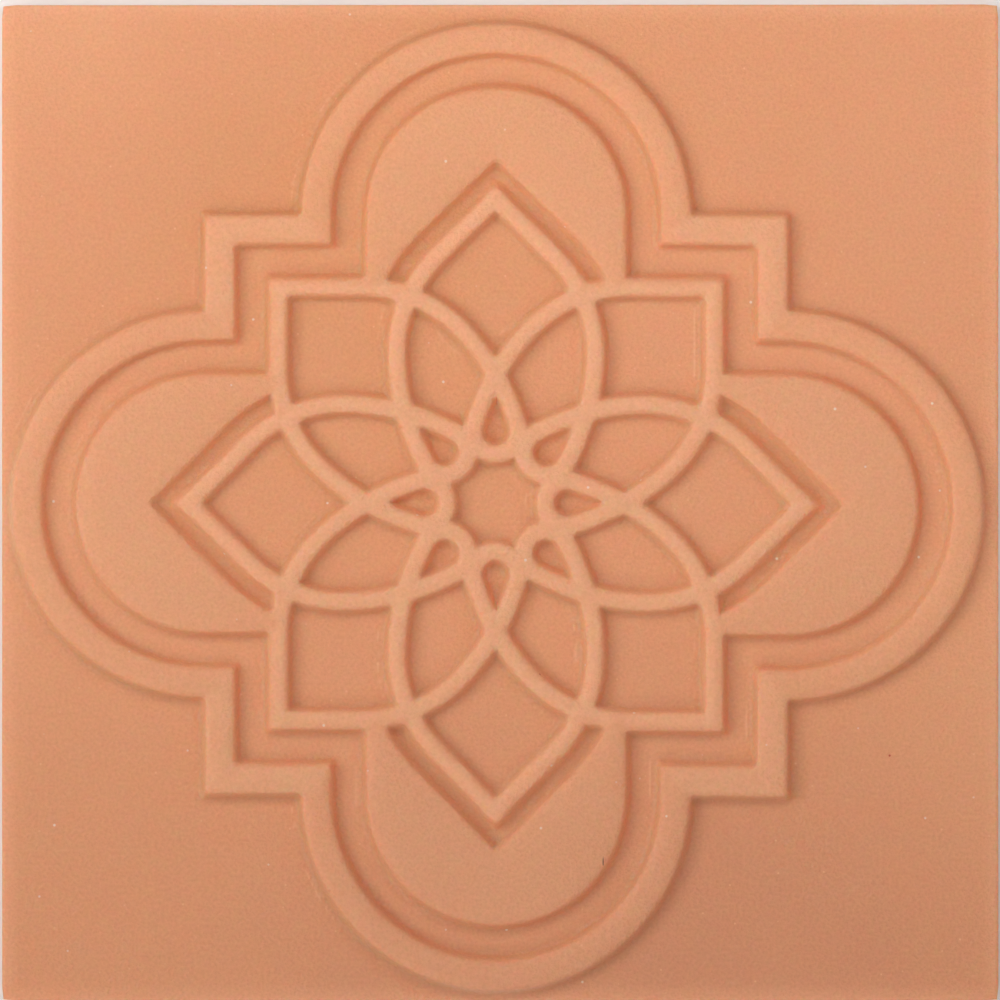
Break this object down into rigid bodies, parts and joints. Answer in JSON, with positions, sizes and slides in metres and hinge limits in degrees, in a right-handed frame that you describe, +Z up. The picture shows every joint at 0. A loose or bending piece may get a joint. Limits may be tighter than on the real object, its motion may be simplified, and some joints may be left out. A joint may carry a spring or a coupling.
{
  "type": "clay texture sheet",
  "caption": "Square slab of polymer clay whose face carries a raised geometric ornament, an interlaced rosette in a barbed quatrefoil frame; flat underside to rest on.",
  "frame": {"origin": "middle of the flat underside of the slab", "axes": "+Z up out of the ornamented face, +Y towards the edge that is at the top of the picture, +X towards the edge on its right"},
  "size_m": [0.09, 0.09, 0.0045],
  "materials": {
    "clay": "baked polymer clay, unglazed, satin matt, peach"
  },
  "bodies": {
    "root": {"clay_sheet": "clay"}
  },
  "joints": []
}
